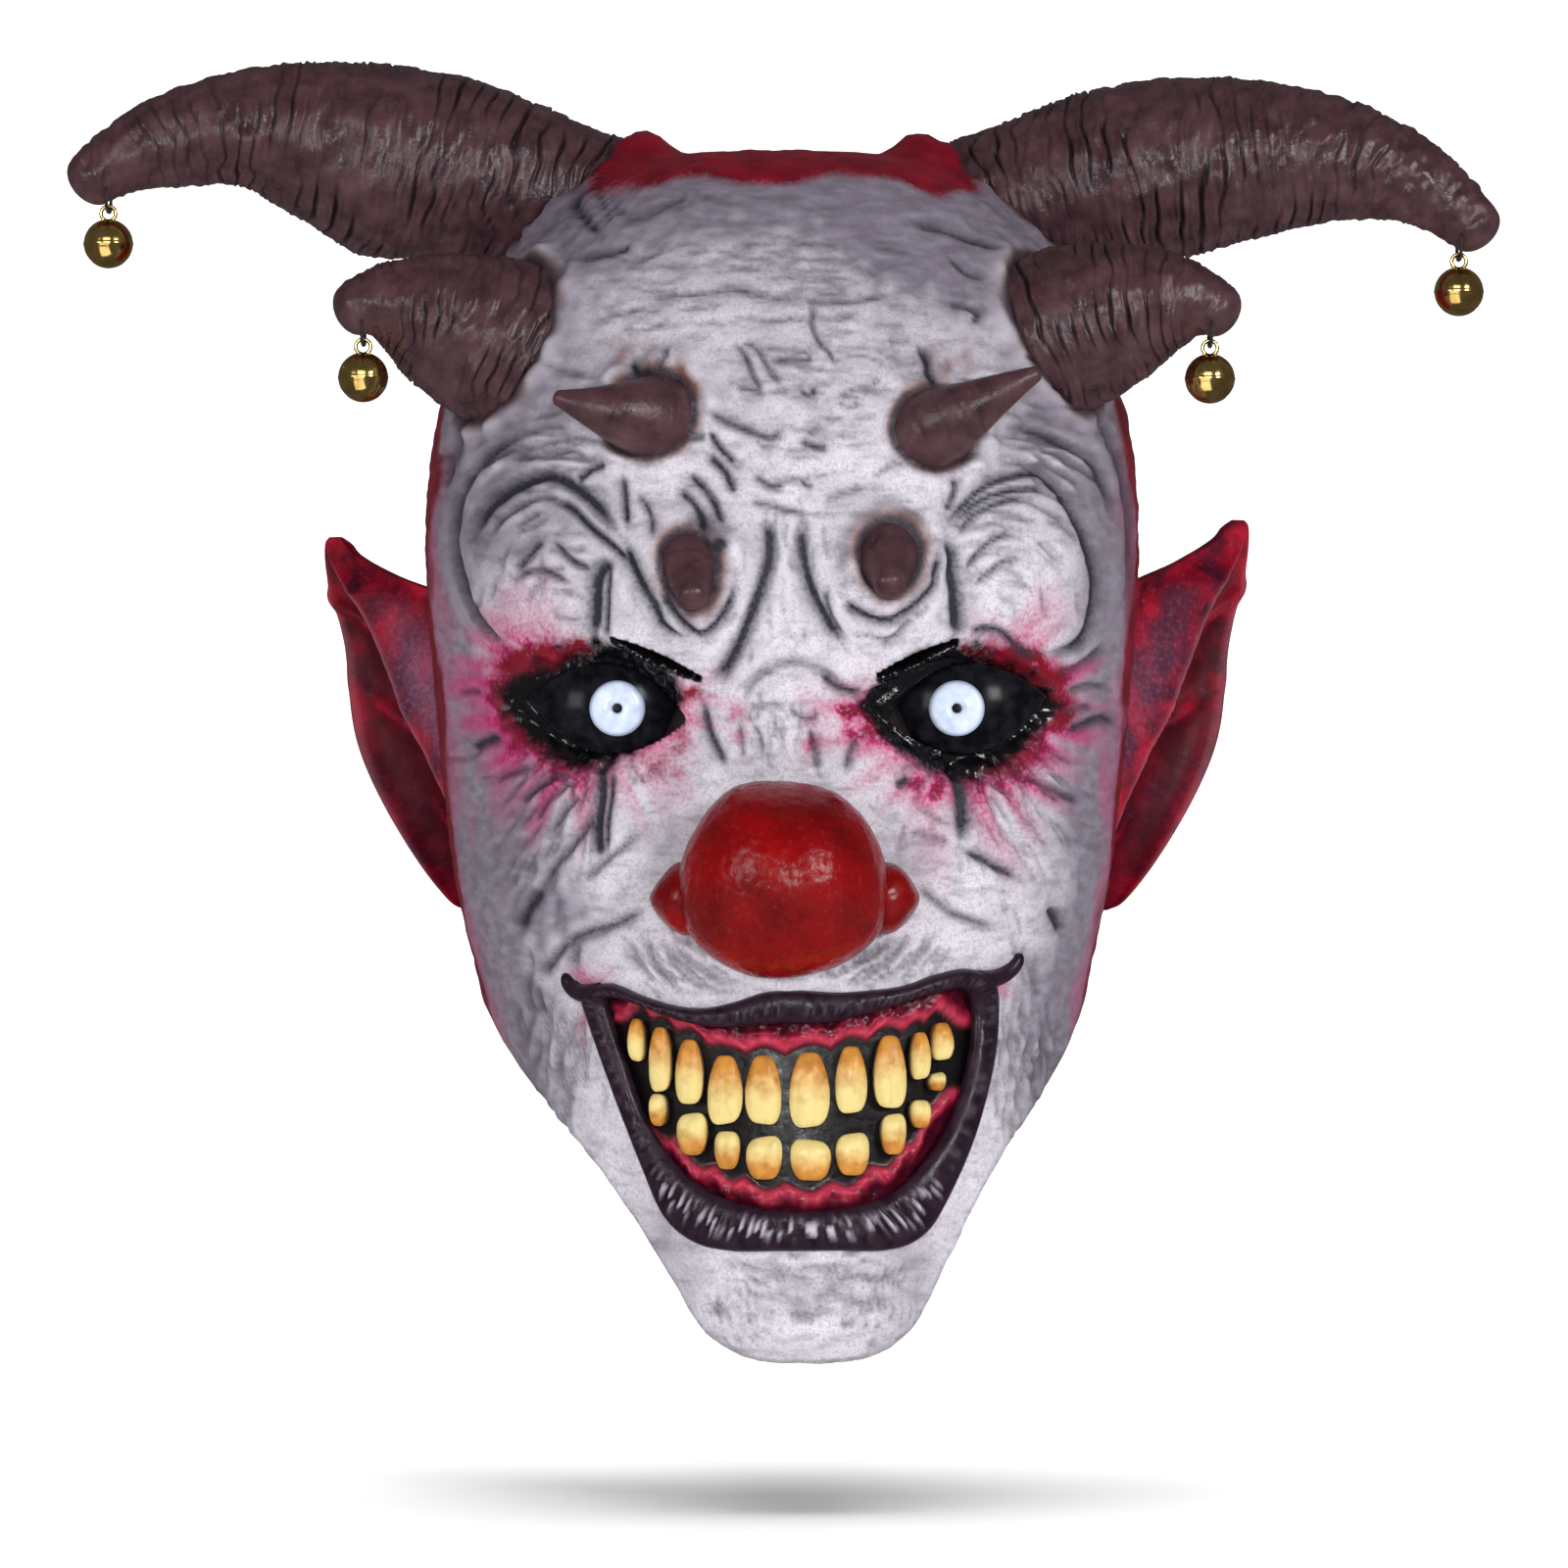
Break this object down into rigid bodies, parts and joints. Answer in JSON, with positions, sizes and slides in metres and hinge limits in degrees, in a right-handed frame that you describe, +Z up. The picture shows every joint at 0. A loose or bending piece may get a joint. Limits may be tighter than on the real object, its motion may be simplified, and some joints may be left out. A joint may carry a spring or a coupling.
{
  "type": "horned clown mask",
  "caption": "Hollow latex full-head clown mask with curled ribbed horns hung with jingle bells, pointed ears, a ball nose, glossy black eyes and a wide toothy grin.",
  "frame": {"origin": "inside of the crown, where the mask sits on the top of the wearer's head", "axes": "+Z up, -Y the way the face looks, +X the wearer's left"},
  "size_m": [0.3732, 0.2363, 0.3321],
  "materials": {
    "face_latex": "painted matt latex: pale grey face with a dark wash in the creases, magenta eye rays, red crown and nape",
    "horn_latex": "semi-gloss dark brown latex with ring wrinkles",
    "ear_latex": "dark red satin latex, darker in the hollows",
    "nose_latex": "glossy red latex, lightly scuffed",
    "eye_gloss": "wet-look black",
    "iris_paint": "pale blue-white gloss",
    "gum_latex": "glossy crimson, black between the teeth",
    "lip_latex": "satin black-purple with fine creases",
    "tooth_paint": "yellowed gloss paint, brown at the gums",
    "bell_brass": "polished",
    "tie_thread": "black waxed thread"
  },
  "bodies": {
    "mask": {"ear_left": "ear_latex", "ear_right": "ear_latex", "eye_left": "eye_gloss", "eye_right": "eye_gloss", "face_shell": "face_latex", "gums": "gum_latex", "horn_brow_left": "horn_latex", "horn_brow_right": "horn_latex", "horn_large_left": "horn_latex", "horn_large_right": "horn_latex", "horn_nub_left": "horn_latex", "horn_nub_right": "horn_latex", "horn_side_left": "horn_latex", "horn_side_right": "horn_latex", "iris_left": "iris_paint", "iris_right": "iris_paint", "lips": "lip_latex", "nose": "nose_latex", "tie_large_left": "tie_thread", "tie_large_right": "tie_thread", "tie_side_left": "tie_thread", "tie_side_right": "tie_thread", "tooth_lower_1": "tooth_paint", "tooth_lower_2": "tooth_paint", "tooth_lower_3": "tooth_paint", "tooth_lower_4": "tooth_paint", "tooth_lower_5": "tooth_paint", "tooth_lower_6": "tooth_paint", "tooth_lower_7": "tooth_paint", "tooth_lower_8": "tooth_paint", "tooth_lower_9": "tooth_paint", "tooth_upper_1": "tooth_paint", "tooth_upper_10": "tooth_paint", "tooth_upper_2": "tooth_paint", "tooth_upper_3": "tooth_paint", "tooth_upper_4": "tooth_paint", "tooth_upper_5": "tooth_paint", "tooth_upper_6": "tooth_paint", "tooth_upper_7": "tooth_paint", "tooth_upper_8": "tooth_paint", "tooth_upper_9": "tooth_paint"},
    "large_left_bell": {"bell_large_left": "bell_brass"},
    "large_right_bell": {"bell_large_right": "bell_brass"},
    "side_left_bell": {"bell_side_left": "bell_brass"},
    "side_right_bell": {"bell_side_right": "bell_brass"}
  },
  "joints": [
    {"name": "large_left_bell_swing", "type": "hinge", "parent": "mask", "child": "large_left_bell", "pos_m": [0.17433, -0.01342, -0.02658], "axis": [0, 1, 0], "range_deg": [-35, 35]},
    {"name": "large_right_bell_swing", "type": "hinge", "parent": "mask", "child": "large_right_bell", "pos_m": [-0.17595, -0.01316, -0.01415], "axis": [0, 1, 0], "range_deg": [-35, 35]},
    {"name": "side_left_bell_swing", "type": "hinge", "parent": "mask", "child": "side_left_bell", "pos_m": [0.10801, -0.04894, -0.05081], "axis": [0, 1, 0], "range_deg": [-35, 35]},
    {"name": "side_right_bell_swing", "type": "hinge", "parent": "mask", "child": "side_right_bell", "pos_m": [-0.10812, -0.04872, -0.05045], "axis": [0, 1, 0], "range_deg": [-18, 35]}
  ]
}
